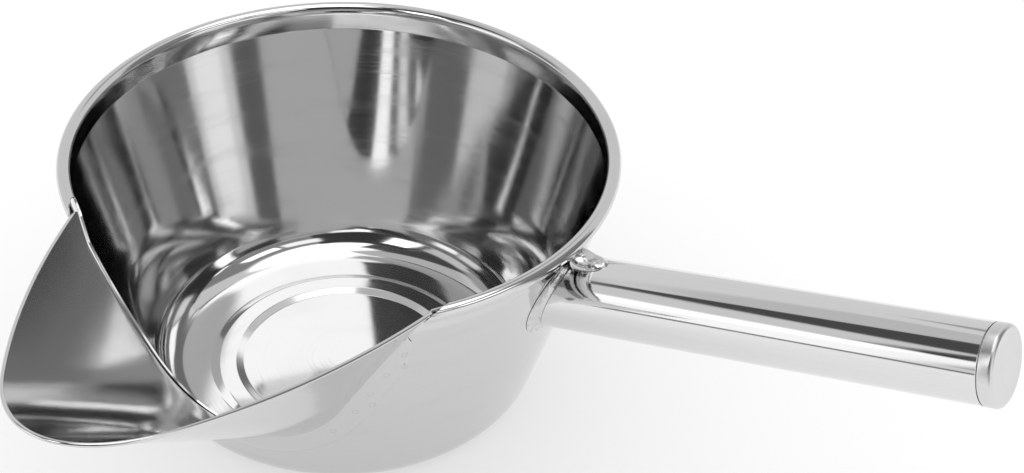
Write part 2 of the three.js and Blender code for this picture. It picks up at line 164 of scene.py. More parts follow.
class HandleSizes(bpy.types.PropertyGroup):
    tube_radius: length("Tube radius", "Outside radius of the tube", 12.7)
    tube_wall: length("Tube wall", "Wall of the tube", 0.8)
    grip_length: length("Grip length", "Tube standing out past the rim", 144.2)
    tilt: angle("Tilt", "How far the handle rises from level", 14.1)
    under_rim: length("Under rim", "Underside of the roll down to the top of the tube", 3.85)
    weld_root: length("Weld root", "Gap between the coped tube and the wall", 2.1)
    weld_leg: length("Weld leg", "Width of the weld beyond the tube, top and bottom", 2.0)
    weld_side_leg: length("Weld side leg", "Width of the weld beyond the tube at its sides", 4.2)
    cap_length: length("Cap length", "End cap standing out of the tube", 4.8)
    cap_edge: length("Cap edge", "Radius of the cap's shoulder", 1.3)
    cap_wall: length("Cap wall", "Pressed metal of the cap", 1.0)
    spigot: length("Spigot", "Part of the cap that plugs the tube", 9)
    tack_length: length("Tack length", "Tongue of weld from the rim on to the tube", 11)
    tack_width: length("Tack width", "Width of the tongue of weld", 8.5)
    tack_height: length("Tack height", "Thickness of the tongue on the tube", 1.3)
    tack_rise: length("Tack rise", "How much higher the tongue stands against the rim", 3.6)
    gap: length("Gap", "Gap between pieces that touch", 0.3)


class FinishColours(bpy.types.PropertyGroup):
    bowl: colour("Bowl", "Colour of the bowl's steel", 0.66)
    spout: colour("Spout", "Colour of the spout's steel", 0.66)
    tube: colour("Tube", "Colour of the handle's steel", 0.74)
    cap: colour("Cap", "Colour of the cap's steel", 0.70)
    weld: colour("Weld", "Colour of the weld metal", 0.66)
    scratch: share("Scratches", "Strength of the fine brushing", 0.5)


class StudioSizes(bpy.types.PropertyGroup):
    azimuth: angle("Azimuth", "Camera's turn about the pot", 30.38)
    elevation: angle("Elevation", "Camera's height above level", 37.12)
    roll: angle("Roll", "Camera's roll", 2.15)
    lens: strength("Lens", "Focal length in millimetres", 76.89)
    distance: length("Distance", "Camera to the point that it looks at", 800)
    aim_x: length("Aim X", "Point that the camera looks at, X", 35.1, -1000)
    aim_y: length("Aim Y", "Point that the camera looks at, Y", 56.6, -1000)
    aim_z: length("Aim Z", "Point that the camera looks at, Z", 34.8, -1000)
    floor: colour("Floor", "Colour of the floor", 0.5)
    floor_glow: strength("Floor glow", "Light from the floor, as a lit table gives", 0.45)
    floor_size: length("Floor size", "Width of the floor", 6000)
    air: strength("Air", "Strength of the even light on the floor", 1.15)
    room_radius: length("Room radius", "Distance of the panels that the steel mirrors", 1000)
    room_grey: strength("Room grey", "Brightness of the room between its panels", 0.8)
    lamps: strength("Lamps", "Strength of the lamps and panels", 1.0)


# ---------------------------------------------------------------- shape of the bowl


def mix(low, high, part):
    return low + (high - low) * part


def bisect(low, high, is_low, steps=44):
    """Where is_low stops being true, for one value or for an array of them."""
    low, high = (np.array(side, float) for side in np.broadcast_arrays(low, high))
    for _ in range(steps):
        middle = (low + high) / 2
        yes = is_low(middle)
        low, high = np.where(yes, middle, low), np.where(yes, high, middle)
    return (low + high) / 2


class Wall:
    """The bowl's profile. Radii are from its axis and heights from the table."""

    def __init__(self, sizes):
        self.sizes = sizes
        self.sheet = sizes.sheet
        self.rim = sizes.rim_radius
        self.height = sizes.height
        self.roll_centre = sizes.height - sizes.roll_radius
        self.neck = self.roll_centre - sizes.collar_height
        self.collar = sizes.rim_radius - 2 * sizes.roll_radius
        self.roll_middle = sizes.rim_radius - sizes.roll_radius
        self.under_roll = self.roll_centre - sizes.roll_radius
        self.corner_lean, self.corner_top, self.corner_middle = self.corner()

    def inside(self, z):
        part = z / self.neck
        cone = mix(self.sizes.floor_radius, self.collar, part)
        return cone + 4 * self.sizes.wall_bulge * part * (1 - part)

    def slope(self, z):
        step = 0.5 * MM
        return (self.inside(z + step) - self.inside(z - step)) / (2 * step)

    def outside(self, z):
        wall = self.inside(z) + self.sheet * np.hypot(1, self.slope(z))
        return np.where(z >= self.neck, self.collar + self.sheet, wall)

    def corner(self):
        """The wall's lean at the corner, the height that the corner reaches, and its middle."""
        radius, lean, top = self.sizes.corner_radius, 0.0, 10 * MM
        for _ in range(20):
            lean = math.atan(self.slope(top))
            top = self.sheet + radius * (1 - math.sin(lean))
        return lean, top, self.inside(top) - radius * math.cos(lean)

    def floor_line(self):
        """Inner face of the floor from the axis to the corner, with the pressed ring."""
        s = self.sizes
        line = [(radius, self.sheet) for radius in np.linspace(0, s.ring_inner - 0.5 * MM, 14)[:-1]]
        soft = 0.35 * MM
        corners = ((s.ring_inner, 0, 1), (s.ring_inner + s.ring_slope, 1, -1),
                   (s.ring_outer - s.ring_slope, 1, -1), (s.ring_outer, 0, 1))
        tilt = s.ring_rise / s.ring_slope
        for number, (radius, level, bend) in enumerate(corners):
            for part in np.linspace(-1, 1, 7):
                lift = bend * tilt * soft * (1 + part if number % 2 == 0 else 1 - part) ** 2 / 4
                line.append((radius + soft * part, self.sheet + level * s.ring_rise + lift))
        rest = np.linspace(s.ring_outer + soft, self.corner_middle, 4)[1:-1]
        return line + [(radius, self.sheet) for radius in rest]

    def corner_line(self):
        radius = self.sizes.corner_radius
        return [(self.corner_middle + radius * math.sin(turn),
                 self.sheet + radius * (1 - math.cos(turn)))
                for turn in np.linspace(0, math.pi / 2 - self.corner_lean, CORNER_ROWS)]

    def wall_line(self, extra_heights):
        """Inner face from the corner to the crease, with close rows either side of the crease."""
        heights = set(np.linspace(self.corner_top, self.neck, WALL_ROWS)[1:])
        heights |= {self.neck - near * MM for near in (0.15, 0.5, 1.1)}
        heights |= {z for z in extra_heights if self.corner_top < z < self.neck}
        kept = []
        for z in sorted(heights):
            if not kept or z - kept[-1] > 0.04 * MM:
                kept.append(z)
        return [(self.inside(z), z) for z in kept]

    def rim_line(self):
        """Inner face of the collar and then the outer face of the roll."""
        rises = [0.15, 0.5, 1.4, 2.8, 4.4, 6.0]
        line = [(self.collar, self.neck + rise * MM) for rise in rises
                if rise * MM < self.roll_centre - self.neck]
        for part in np.linspace(0, 1, ROLL_ROWS):
            turn = math.pi - self.sizes.roll_sweep * part
            line.append((self.roll_middle + self.sizes.roll_radius * math.cos(turn),
                         self.roll_centre + self.sizes.roll_radius * math.sin(turn)))
        return line


def offset_line(line, distance):
    """The line moved to the right of its direction, with mitred corners."""
    points = np.array(line)
    before = np.diff(points, axis=0, prepend=points[:1] - (points[1:2] - points[:1]))
    after = np.diff(points, axis=0, append=points[-1:] + (points[-1:] - points[-2:-1]))
    sides = []
    for run in (before, after):
        side = np.stack([run[:, 1], -run[:, 0]], axis=1)
        sides.append(side / np.linalg.norm(side, axis=1, keepdims=True))
    mitre = sides[0] + sides[1]
    mitre /= np.linalg.norm(mitre, axis=1, keepdims=True)
    moved = points + mitre * (distance / np.sum(mitre * sides[0], axis=1))[:, None]
    moved[:, 0] = np.maximum(moved[:, 0], 0)
    return moved


# ---------------------------------------------------------------- shape of the spout


class Trough:
    """The spout's channel. Reach is level, from the bowl's axis towards the lip. Girth is measured
    round the section from its bottom line, negative on the left."""

    def __init__(self, wall, sizes):
        self.wall, self.sizes = wall, sizes
        self.out = np.array([math.cos(sizes.turn), math.sin(sizes.turn), 0])
        self.side = np.array([-self.out[1], self.out[0], 0])
        self.up = np.array([0, 0, 1.0])
        self.tip_reach = wall.rim + sizes.reach
        self.tip_height = wall.height + sizes.lip_rise
        self.notch_reach = float(wall.outside(sizes.notch_height)) + sizes.lap_gap
        self.fall = (self.tip_height - sizes.notch_height) / (self.tip_reach - self.notch_reach)
        self.fore = 1 / math.hypot(1, self.fall)
        self.start_reach = wall.rim * sizes.edge_start
        self.start_height = wall.roll_centre + sizes.edge_lift
        shortest = 1.5 * MM
        self.last_girth = float(bisect(0, 4 * sizes.trough_radius, lambda girth: (
            self.reach_at_edge(girth) - self.reach_at_wall(girth, sizes.lap_gap) > shortest)))
        self.crease_girth = self.girth_at_height(wall.neck)

    def slant(self, reach):
        part = (reach - self.notch_reach) / (self.tip_reach - self.notch_reach)
        return mix(self.sizes.wall_slant, self.sizes.tip_slant, part)

    def bottom(self, reach):
        return self.sizes.notch_height + self.fall * (reach - self.notch_reach)

    def edge_height(self, reach):
        part = (reach - self.start_reach) / (self.tip_reach - self.start_reach)
        straight = mix(self.start_height, self.tip_height, part)
        return straight - 4 * self.sizes.edge_dip * part * (1 - part)

    def point(self, reach, girth):
        reach, girth = np.broadcast_arrays(np.asarray(reach, float), np.asarray(girth, float))
        radius, slant, size = self.sizes.trough_radius, self.slant(reach), np.abs(girth)
        bend = math.pi / 2 - slant
        straight = np.maximum(size - radius * bend, 0)
        turn = np.minimum(size / radius, bend)
        half = radius * np.sin(turn) + straight * np.sin(slant)
        rise = radius * (1 - np.cos(turn)) + straight * np.cos(slant)
        height = self.bottom(reach) + rise / self.fore
        return (reach[..., None] * self.out + (np.sign(girth) * half)[..., None] * self.side
                + height[..., None] * self.up)

    def offset(self, reach, girth, distance):
        step = 0.05 * MM
        along = self.point(reach + step, girth) - self.point(reach - step, girth)
        around = self.point(reach, girth + step) - self.point(reach, girth - step)
        normal = np.cross(along, around)
        normal /= np.linalg.norm(normal, axis=-1, keepdims=True)
        normal *= np.where(normal[..., 2:] > 0, -1.0, 1.0)
        return self.point(reach, girth) + normal * np.asarray(distance)[..., None]

    def reach_at_wall(self, girth, gap):
        def inside_wall(reach):
            p = self.point(reach, girth)
            radius = np.hypot(p[..., 0], p[..., 1])
            return radius < self.wall.outside(np.minimum(p[..., 2], self.wall.roll_centre)) + gap
        return bisect(np.zeros_like(girth, float), self.tip_reach, inside_wall)

    def reach_at_edge(self, girth):
        return bisect(np.zeros_like(girth, float), self.tip_reach * 1.2,
                      lambda reach: self.point(reach, girth)[..., 2] < self.edge_height(reach))

    def fold(self, girth):
        return self.point(self.reach_at_wall(girth, self.sizes.lap_gap), girth)

    def girth_at_height(self, height):
        return float(bisect(0, self.last_girth, lambda girth: self.fold(girth)[..., 2] < height))

    def lap(self, girth, distance, gap=None):
        """Points of the lap at a distance from the fold, on the side away from the notch."""
        gap = self.sizes.lap_gap if gap is None else gap
        fold, step = self.fold(girth), 0.2 * MM
        along = self.fold(girth + step) - self.fold(girth - step)
        facing = fold * [1, 1, 0]
        away = np.cross(facing, along)
        away /= np.linalg.norm(away, axis=-1, keepdims=True)
        middle = self.out * self.notch_reach + self.up * self.wall.height
        away *= np.where(np.sum(away * (fold - middle), axis=-1, keepdims=True) < 0, -1.0, 1.0)
        p = fold + away * np.asarray(distance)[..., None]
        radius = self.wall.outside(np.minimum(p[..., 2], self.wall.roll_centre)) + gap
        p[..., :2] *= (radius / np.hypot(p[..., 0], p[..., 1]))[..., None]
        return p

    def lap_width(self, girth):
        taper = self.sizes.lap_width * 1.6
        part = np.clip((self.wall.neck - self.fold(girth)[..., 2]) / taper, 0, 1)
        return mix(0.3 * MM, self.sizes.lap_width, np.sqrt(part) * np.minimum(part / 0.16, 1))

    def surface(self, radius, turn, grow):
        """Height of the channel's face, moved out by grow, over a point of a circle."""
        reach, half = radius * np.cos(turn), np.abs(radius * np.sin(turn))
        slant, big = self.slant(reach), self.sizes.trough_radius + grow
        bend = math.pi / 2 - slant
        flat = big * np.sin(bend)
        on_arc = big - np.sqrt(np.maximum(big ** 2 - np.minimum(half, flat) ** 2, 0))
        rise = on_arc + np.maximum(half - flat, 0) / np.tan(slant) - grow
        return self.bottom(reach) + rise / self.fore

    def cut_turn(self, radius, height, grow):
        """Half the angle that the notch takes out of a circle of the wall."""
        return bisect(0.0, math.radians(80), lambda turn: height > self.surface(radius, turn, grow))

    def notch_bottom(self):
        wall = self.wall
        return float(bisect(wall.corner_top, wall.neck, lambda z: (
            z < self.surface(wall.inside(z), 0.0, -self.sizes.cut_inset))))


# ---------------------------------------------------------------- shape of the handle


class Grip:
    """The handle in its own frame: local Z runs out along the tube, local X is its upper side."""

    def __init__(self, wall, sizes):
        self.wall, self.sizes = wall, sizes
        rise = (wall.under_roll - sizes.under_rim - sizes.tube_radius / math.cos(sizes.tilt)
                - wall.rim * math.tan(sizes.tilt))
        self.end = wall.rim + sizes.grip_length
        self.to_world = (Matrix.Translation((0, 0, rise))
                         @ Matrix.Rotation(math.pi / 2 - sizes.tilt, 4, "Y")
                         @ Matrix.Rotation(math.pi, 4, "Z"))
        self.turn = np.array(self.to_world.to_3x3())
        self.shift = np.array(self.to_world.translation)

    def world(self, radius, turn, along):
        radius, turn, along = np.broadcast_arrays(radius, turn, along)
        local = np.stack([radius * np.cos(turn), radius * np.sin(turn), along], axis=-1)
        return local @ self.turn.T + self.shift

    def at_wall(self, radius, turn, gap):
        """Distance along the axis at which a line beside it meets the bowl's outside."""
        def inside_wall(along):
            p = self.world(radius, turn, along)
            return np.hypot(p[..., 0], p[..., 1]) < self.wall.outside(p[..., 2]) + gap
        radius, turn = np.broadcast_arrays(np.asarray(radius, float), np.asarray(turn, float))
        return bisect(np.zeros(radius.shape), 2 * self.wall.rim, inside_wall)


def shapes():
    scene = bpy.context.scene
    wall = Wall(scene.pot_bowl)
    return wall, Trough(wall, scene.pot_spout), Grip(wall, scene.pot_handle)


# ---------------------------------------------------------------- mesh helpers


def quads(rows, columns, first, wrap_rows=False, wrap_columns=False, flip=False):
    """Faces of a grid of points, whose ends meet where it wraps."""
    faces = []
    for i in range(rows if wrap_rows else rows - 1):
        for j in range(columns if wrap_columns else columns - 1):
            a, b = first + i * columns + j, first + (i + 1) % rows * columns + j
            c = first + (i + 1) % rows * columns + (j + 1) % columns
            d = first + i * columns + (j + 1) % columns
            faces.append((a, d, c, b) if flip else (a, b, c, d))
    return faces


def add_object(name, data):
    made = bpy.data.objects.new(name, data)
    bpy.context.scene.collection.objects.link(made)
    return made


def new_piece(name, points, faces, sharp=35.0):
    """A mesh object with its doubles merged, its normals outwards and its flat edges kept crisp."""
    mesh = bpy.data.meshes.new(name)
    mesh.from_pydata(np.asarray(points).reshape(-1, 3).tolist(), [], faces)
    work = bmesh.new()
    work.from_mesh(mesh)
    bmesh.ops.remove_doubles(work, verts=work.verts, dist=0.002 * MM)
    bmesh.ops.dissolve_degenerate(work, edges=work.edges, dist=0.001 * MM)
    bmesh.ops.recalc_face_normals(work, faces=work.faces)
    work.to_mesh(mesh)
    work.free()
    mesh.shade_smooth()
    mesh.set_sharp_from_angle(angle=math.radians(sharp))
    return add_object(name, mesh)


def slab(name, front, back, split=0, pole=False, sharp=35.0):
    """Closed body between two grids of points. Their first rows may close on a pole, and their
    sides meet up to the row where they split."""
    rows, columns = front.shape[:2]
    size = rows * columns
    faces = quads(rows, columns, 0) + quads(rows, columns, size, flip=True)
    last = (rows - 1) * columns
    edges = [range(split * columns, size, columns), range((split + 1) * columns - 1, size, columns),
             range(last, size)]
    if not pole:
        edges.append(range(columns))
    for edge in edges:
        faces += [(a, b, b + size, a + size) for a, b in zip(edge, edge[1:])]
    points = np.concatenate([front.reshape(-1, 3), back.reshape(-1, 3)])
    return new_piece(name, points, faces, sharp)


def bevel(piece, width, limit=50.0):
    edge = piece.modifiers.new("Edge round", "BEVEL")
    edge.width = width
    edge.segments = 2
    edge.limit_method = "ANGLE"
    edge.angle_limit = math.radians(limit)
    return apply_modifiers(piece)


def apply_modifiers(piece):
    """The piece with its modifiers made part of its mesh."""
    bpy.context.view_layer.update()
    shown = piece.evaluated_get(bpy.context.evaluated_depsgraph_get())
    mesh = bpy.data.meshes.new_from_object(shown)
    piece.modifiers.clear()
    piece.data = mesh
    return piece


def node_tree(name, sizes):
    """Empty geometry nodes with a mesh in and out, and the identifiers of the sizes they take."""
    tree = bpy.data.node_groups.new(name, "GeometryNodeTree")
    sockets, kind = tree.interface, "NodeSocketGeometry"
    sockets.new_socket(name="Geometry", in_out="INPUT", socket_type=kind)
    keys = {label: sockets.new_socket(name=label, in_out="INPUT", socket_type=size).identifier
            for label, size in sizes.items()}
    sockets.new_socket(name="Geometry", in_out="OUTPUT", socket_type=kind)
    return tree, keys


def end_tree(tree, geometry, material):
    """Makes the tree's copies real, gives them their material and passes them out."""
    real, paint, result = (tree.nodes.new(kind) for kind in (
        "GeometryNodeRealizeInstances", "GeometryNodeSetMaterial", "NodeGroupOutput"))
    paint.inputs["Material"].default_value = material
    tree.links.new(geometry, real.inputs["Geometry"])
    tree.links.new(real.outputs["Geometry"], paint.inputs["Geometry"])
    tree.links.new(paint.outputs["Geometry"], result.inputs["Geometry"])


def run_tree(piece, tree, keys, values):
    """Gives the piece the tree with these sizes, and makes its result the piece's mesh."""
    modifier = piece.modifiers.new(tree.name, "NODES")
    modifier.node_group = tree
    for label, value in values.items():
        modifier[keys[label]] = value
    return apply_modifiers(piece)


def settle(piece, nodes, material):
    """Gives a piece its finish, its body and the nodes that it stands for."""
    piece.data.materials.clear()
    piece.data.materials.append(material)
    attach(piece, BODY)
    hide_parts(*nodes)


def ripple(points, amount, waves):
    """Sum of a few slow sine waves over space, the same on every run, for hand-laid weld metal."""
    total = np.zeros(points.shape[:-1])
    for number in range(1, waves + 1):
        turn = number * 2.4
        direction = np.array([math.cos(turn), math.sin(turn), math.cos(turn * 1.7)])
        total += np.sin(points @ direction * (500 + 330 * number) + number) / number
    return total * amount


# ---------------------------------------------------------------- shader maths


class Value:
    """A number in a shader. Python's operators on it add Math nodes."""

    def __init__(self, shader, socket):
        self.shader, self.socket = shader, socket

    def math(self, operation, *others, swap=False):
        values = [self, *others]
        if swap:
            values.reverse()
        return self.shader.node("ShaderNodeMath", {"operation": operation}, dict(enumerate(values)))

    def __add__(self, other):
        return self.math("ADD", other)

    def __sub__(self, other):
        return self.math("SUBTRACT", other)

    def __rsub__(self, other):
        return self.math("SUBTRACT", other, swap=True)

    def __mul__(self, other):
        return self.math("MULTIPLY", other)

    def __truediv__(self, other):
        return self.math("DIVIDE", other)

    def __pow__(self, other):
        return self.math("POWER", other)

    __radd__ = __add__
    __rmul__ = __mul__


class Shader:
    """A material being wired."""

    def __init__(self, name):
        self.material = bpy.data.materials.new(name)
        self.material.use_nodes = True
        self.tree = self.material.node_tree
        self.surface = self.tree.nodes["Principled BSDF"]

    def node(self, kind, settings=None, inputs=None, output=0):
        made = self.tree.nodes.new(kind)
        for name, value in (settings or {}).items():
            setattr(made, name, value)
        for name, value in (inputs or {}).items():
            self.feed(made.inputs[name], value)
        return Value(self, made.outputs[output])

    def feed(self, socket, value):
        if isinstance(value, Value):
            self.tree.links.new(value.socket, socket)
        else:
            socket.default_value = value

    def place(self):
        """Object coordinates, and their X, Y and Z."""
        where = self.node("ShaderNodeTexCoord", output="Object")
        parts = self.node("ShaderNodeSeparateXYZ", inputs={0: where})
        return where, [Value(self, socket) for socket in parts.socket.node.outputs]

    def noise(self, where, scale, detail=2.0, roughness=0.5):
        return self.node("ShaderNodeTexNoise", inputs={
            "Vector": where, "Scale": scale, "Detail": detail, "Roughness": roughness})

    def vector(self, x, y, z):
        return self.node("ShaderNodeCombineXYZ", inputs={0: x, 1: y, 2: z})

    def spread(self, value, low, high, out_low, out_high):
        """The value carried from one range to another, and held inside it."""
        settings = {"clamp": True, "interpolation_type": "SMOOTHSTEP"}
        return self.node("ShaderNodeMapRange", settings, {
            "Value": value, "From Min": low, "From Max": high,
            "To Min": out_low, "To Max": out_high})

    def rises(self, value, low, high):
        return self.spread(value, low, high, 0, 1)

    def bump(self, height, distance, strength=1.0, below=None):
        inputs = {"Height": height, "Distance": distance, "Strength": strength}
        if below is not None:
            inputs["Normal"] = below
        return self.node("ShaderNodeBump", inputs=inputs)

    def finish(self, colour_value, roughness, normal, metallic=1.0):
        for name, value in (("Base Color", colour_value), ("Roughness", roughness),
                            ("Metallic", metallic), ("Normal", normal)):
            if value is not None:
                self.feed(self.surface.inputs[name], value)
        return self.material


def turned_axes(first, second, turn):
    """Two coordinates read along axes that are turned from the first towards the second."""
    return (first * math.cos(turn) + second * math.sin(turn),
            second * math.cos(turn) - first * math.sin(turn))


def tinted(shader, base, shade):
    """The base colour darkened a little where shade falls below one."""
    return shader.node("ShaderNodeMix", {"data_type": "RGBA", "blend_type": "MULTIPLY"}, {
        "Factor": 1.0, "A": (*base, 1), "B": shader.node("ShaderNodeCombineColor", inputs={
            "Red": shade, "Green": shade, "Blue": shade})}, output="Result")


def turned_steel(name, base, scratch, shine):
    """Steel brushed in circles about the bowl's axis, with slow waviness from spinning."""
    s = Shader(name)
    _, (x, y, z) = s.place()
    radius = (x * x + y * y + (9 * MM) ** 2) ** 0.5
    lines = s.noise(s.vector(x * 30, y * 30, (radius + z) * 2300), 1.0, 3.0, 0.7)
    smears = s.noise(s.vector(x * 26, y * 26, z * 150), 1.0, 2.0, 0.6)
    crease = shapes()[0].neck
    slow = s.noise(s.vector(x, y, z * 0.35), 70.0, 1.0, 0.4)
    slow = slow * s.spread(z, crease - 4 * MM, crease, 1, 0.1)
    rough = shine + 0.05 * s.rises(lines, 0.4, 0.75) + 0.05 * s.rises(smears, 0.45, 0.75)
    shade = 1.0 - 0.07 * s.rises(lines, 0.55, 0.85) - 0.04 * s.rises(smears, 0.5, 0.8)
    ridges = s.bump(lines, 0.002 * MM, scratch)
    waves = s.bump(slow, 0.025 * MM, 1.0, ridges)
    return s.finish(tinted(s, base, shade), rough, waves)


def sheet_steel(name, base, scratch, shine):
    """Cold-rolled sheet: satin, with grain along the spout, faint scratches and bending ripples."""
    s = Shader(name)
    where, (x, y, z) = s.place()
    along, beside = turned_axes(x, y, bpy.context.scene.pot_spout.turn)
    grain = s.noise(s.vector(along * 60, beside * 2600, z * 1500), 1.0, 3.0, 0.7)
    ripples = s.noise(s.vector(along * 20, beside * 70, z * 45), 1.0, 1.0, 0.4)
    marks = s.noise(where, 900.0, 3.0, 0.75)
    rough = shine + 0.05 * s.rises(grain, 0.4, 0.75) + 0.05 * s.rises(marks, 0.55, 0.8)
    shade = 1.0 - 0.08 * s.rises(grain, 0.55, 0.9)
    lines = s.bump(grain, 0.002 * MM, scratch)
    waves = s.bump(ripples, 0.12 * MM, 1.0, lines)
    return s.finish(tinted(s, base, shade), rough, waves)


def tube_steel(name, base, scratch, shine):
    """Welded and polished tube: mirror bright, with drawing lines along it."""
    s = Shader(name)
    _, (x, y, z) = s.place()
    along, above = turned_axes(x, z, bpy.context.scene.pot_handle.tilt)
    drawn = s.noise(s.vector(along * 9, y * 2200, above * 2200), 1.0, 3.0, 0.7)
    rub = s.noise(s.vector(along * 45, y * 260, above * 260), 1.0, 2.0, 0.6)
    rough = shine + 0.05 * s.rises(drawn, 0.5, 0.8) + 0.05 * s.rises(rub, 0.5, 0.8)
    shade = 1.0 - 0.06 * s.rises(drawn, 0.5, 0.85)
    lines = s.bump(drawn, 0.0015 * MM, scratch)
    waves = s.bump(rub, 0.004 * MM, 1.0, lines)
    return s.finish(tinted(s, base, shade), rough, waves)


def weld_steel(name, base):
    """Weld metal: smooth, uneven and a little duller than the sheet."""
    s = Shader(name)
    where, _ = s.place()
    lumps = s.noise(where, 380.0, 3.0, 0.55)
    pits = s.noise(where, 1500.0, 2.0, 0.6)
    rough = 0.16 + 0.22 * s.rises(lumps, 0.45, 0.75)
    shade = 1.0 - 0.35 * s.rises(lumps, 0.5, 0.8) - 0.2 * s.rises(pits, 0.6, 0.75)
    skin = s.bump(pits, 0.04 * MM, 0.6)
    return s.finish(tinted(s, base, shade), rough, s.bump(lumps, 0.5 * MM, 0.7, skin))


# ---------------------------------------------------------------- bowl


def notch_shift(turns, cut):
    """Turns round a full row moved so that the row starts and ends at the notch's edges."""
    spread_over = math.radians(110)
    near = np.minimum(turns, 2 * math.pi - turns)
    moved = near + cut * np.clip(1 - near / spread_over, 0, 1)
    return np.where(turns <= math.pi, moved, 2 * math.pi - moved)


class MESH_OT_pot_bowl(bpy.types.Operator):
    """Bowl with its floor ring, wall, crease, collar, hollow rolled rim and notch"""

    bl_idname = "mesh.pot_bowl"
    bl_label = "Bowl"

    def execute(self, context):
        wall, trough, _ = shapes()
        spout = context.scene.pot_spout
        notch = trough.notch_bottom()
        rises = (0, 0.03, 0.12, 0.3, 0.6, 1.0, 1.6, 2.4, 3.4, 4.6)
        lower = wall.floor_line() + wall.corner_line()
        sides = wall.wall_line([notch + rise * MM for rise in rises])
        line = np.array(lower + sides + wall.rim_line())
        back_line = offset_line(line, wall.sheet)
        collar_end = len(line) - ROLL_ROWS
        turns = np.linspace(0, 2 * math.pi, BOWL_COLUMNS)
        fronts, backs, split = [], [], 0
        for i, (radius, height) in enumerate(line):
            cut = 0.0
            if i >= len(lower) and height > notch:
                grow = -spout.cut_inset if i <= collar_end else spout.roll_gap
                cut = float(trough.cut_turn(radius, height, grow))
            else:
                split = i
            around = spout.turn + notch_shift(turns, cut)
            for rows, (r, z) in ((fronts, (radius, height)), (backs, back_line[i])):
                rows.append(np.stack([r * np.cos(around), r * np.sin(around),
                                      np.full(BOWL_COLUMNS, z)], axis=1))
        piece = slab("bowl_sheet", np.array(fronts), np.array(backs), split, True, sharp=50)
        bevel(piece, context.scene.pot_bowl.edge_round)
        looks = context.scene.pot_finish
        steel = turned_steel("bowl_steel", looks.bowl, looks.scratch, BOWL_SHINE)
        settle(piece, ["bowl"], steel)
        return {"FINISHED"}


# ---------------------------------------------------------------- spout


def grid_normals(grid):
    along, around = np.gradient(grid, axis=1), np.gradient(grid, axis=0)
    normal = np.cross(along, around)
    return normal / np.linalg.norm(normal, axis=-1, keepdims=True)


def bend_between(start, corner, end, steps):
    """Points of a smooth bend that leaves start and reaches end towards the corner."""
    parts = np.linspace(0, 1, steps)[:, None, None]
    return (1 - parts) ** 2 * start + 2 * parts * (1 - parts) * corner + parts ** 2 * end


class MESH_OT_pot_spout(bpy.types.Operator):
    """Folded spout: laps on the wall, bends, trough and hemmed free edge, all one sheet"""

    bl_idname = "mesh.pot_spout"
    bl_label = "Spout"

    def execute(self, context):
        wall, trough, _ = shapes()
        s, sheet = context.scene.pot_spout, wall.sheet
        half = np.concatenate([
            np.linspace(0, trough.crease_girth, SPOUT_COLUMNS),
            np.linspace(trough.crease_girth, trough.last_girth, SPOUT_COLUMNS_ABOVE_CREASE)[1:]])
        girth = np.concatenate([-half[:0:-1], half])
        start, end = trough.reach_at_wall(girth, s.lap_gap), trough.reach_at_edge(girth)
        width = trough.lap_width(girth)
        bend = np.minimum(np.minimum(s.bend_radius, width * 0.6), (end - start) * 0.3)
        hem = end - np.minimum(s.hem_width, (end - start) * 0.4)
        tip = np.minimum(sheet, (end - hem) * 0.8)

        lap_parts = np.array([0, 0.04, 0.1, 0.2, 0.4, 0.7, 1.0])
        front = [trough.lap(girth, mix(width, bend, part)) for part in lap_parts]
        front += list(bend_between(front[-1], trough.fold(girth),
                                   trough.point(start + bend, girth), BEND_ROWS))[1:]
        for part in np.linspace(0, 1, SPOUT_ROWS)[1:]:
            front.append(trough.point(mix(start + bend, hem, part), girth))
        front = np.stack(front, axis=1)
        normals = grid_normals(front)
        outer = trough.offset(hem, girth, 1.0) - trough.point(hem, girth)
        if np.sum(normals[:, -1] * outer) < 0:
            normals = -normals
        # the lap's thickness stands square to the wall, and thins out at its very edge
        lap = front[:, :len(lap_parts)]
        lean = np.arctan(wall.slope(np.minimum(lap[..., 2], wall.neck)))[..., None]
        level = lap * [1, 1, 0] / np.hypot(lap[..., 0], lap[..., 1])[..., None]
        normals[:, :len(lap_parts)] = level * np.cos(lean) - trough.up * np.sin(lean)
        steps = np.linalg.norm(np.diff(front, axis=1, prepend=front[:, :1]), axis=-1)
        thickness = sheet * np.clip(0.04 + np.cumsum(steps, axis=1) / (2 * sheet), 0, 1)
        back = front + normals * thickness[..., None]

        # the hem doubles the sheet and ends in a round edge
        fronts, backs = [front], [back]
        for part in (0.06, 0.3, 0.65, 1.0):
            reach = mix(hem, end - tip, part)
            fronts.append(trough.point(reach, girth)[:, None])
            backs.append(trough.offset(reach, girth, 2 * sheet)[:, None])
        for turn in np.linspace(0, math.pi / 2, 6)[1:]:
            reach = end - tip + tip * math.sin(turn)
            inset = sheet * (1 - math.cos(turn))
            fronts.append(trough.offset(reach, girth, inset)[:, None])
            backs.append(trough.offset(reach, girth, 2 * sheet - inset)[:, None])
        fronts, backs = (np.concatenate(grids, axis=1) for grids in (fronts, backs))
        piece = slab("spout_sheet", fronts, backs, sharp=55)
        looks = context.scene.pot_finish
        steel = sheet_steel("spout_steel", looks.spout, looks.scratch, SPOUT_SHINE)
        settle(piece, ["spout"], steel)
        return {"FINISHED"}


# ---------------------------------------------------------------- spot welds


